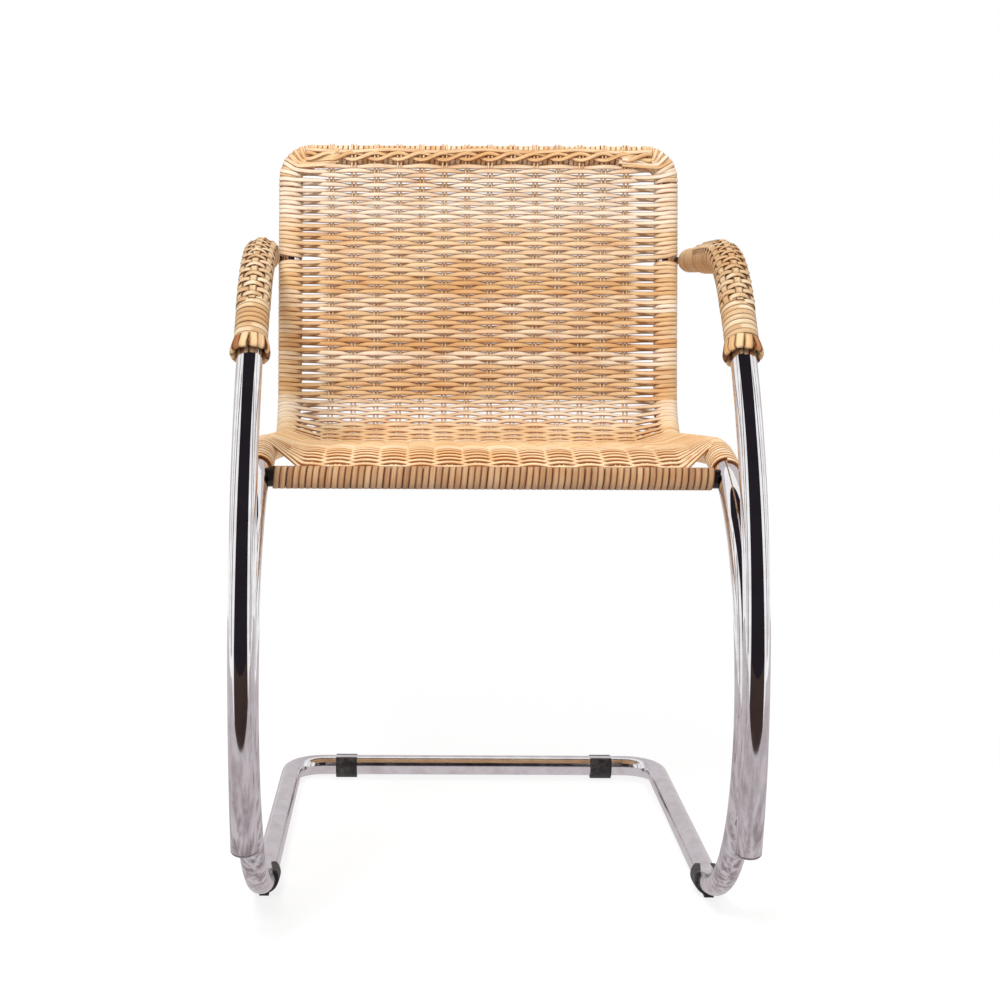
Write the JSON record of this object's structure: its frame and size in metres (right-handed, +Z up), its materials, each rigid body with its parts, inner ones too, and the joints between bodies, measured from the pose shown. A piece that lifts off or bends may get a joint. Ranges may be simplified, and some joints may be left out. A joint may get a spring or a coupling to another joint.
{
  "type": "cantilever armchair",
  "caption": "Cantilever armchair: one bent chromed tube frame, woven cane seat and back, cane-bound curved arms.",
  "frame": {"origin": "on the floor under the middle of the chair", "axes": "+Z up, the sitter faces -Y, +X to the right of a viewer who looks along +Y"},
  "size_m": [0.5554, 0.7167, 0.809],
  "materials": {
    "chromed_tube": "polished, lightly scuffed",
    "steel_fasteners": "plain",
    "woven_cane": "satin, natural cane",
    "wound_cane": "satin, natural cane",
    "glide_black": "matt"
  },
  "bodies": {
    "root": {"arm_binding_left": "wound_cane", "arm_binding_right": "wound_cane", "arm_collar_left": "wound_cane", "arm_collar_right": "wound_cane", "arm_plait_left": "wound_cane", "arm_plait_right": "wound_cane", "arm_plug_low_left": "chromed_tube", "arm_plug_low_right": "chromed_tube", "arm_plug_rear_left": "chromed_tube", "arm_plug_rear_right": "chromed_tube", "arm_screw_low_left": "steel_fasteners", "arm_screw_low_right": "steel_fasteners", "arm_screw_rear_left": "steel_fasteners", "arm_screw_rear_right": "steel_fasteners", "arm_spacer_low_left": "steel_fasteners", "arm_spacer_low_right": "steel_fasteners", "arm_spacer_rear_left": "steel_fasteners", "arm_spacer_rear_right": "steel_fasteners", "arm_tube_left": "chromed_tube", "arm_tube_right": "chromed_tube", "arm_winding_left": "wound_cane", "arm_winding_right": "wound_cane", "back_winding_high_left": "wound_cane", "back_winding_high_right": "wound_cane", "back_winding_low_left": "wound_cane", "back_winding_low_right": "wound_cane", "base_joint_sleeve": "steel_fasteners", "cane_back": "woven_cane", "cane_seat": "woven_cane", "frame_tube_left": "chromed_tube", "frame_tube_right": "chromed_tube", "front_glide_left": "glide_black", "front_glide_right": "glide_black", "front_rail_plug_left": "steel_fasteners", "front_rail_plug_right": "steel_fasteners", "front_rail_screw_left": "steel_fasteners", "front_rail_screw_right": "steel_fasteners", "front_rail_tube": "chromed_tube", "front_rail_winding": "wound_cane", "rear_glide_left": "glide_black", "rear_glide_right": "glide_black", "seat_winding_left": "wound_cane", "seat_winding_right": "wound_cane", "top_bar_winding": "wound_cane", "top_joint_sleeve": "steel_fasteners"}
  },
  "joints": []
}
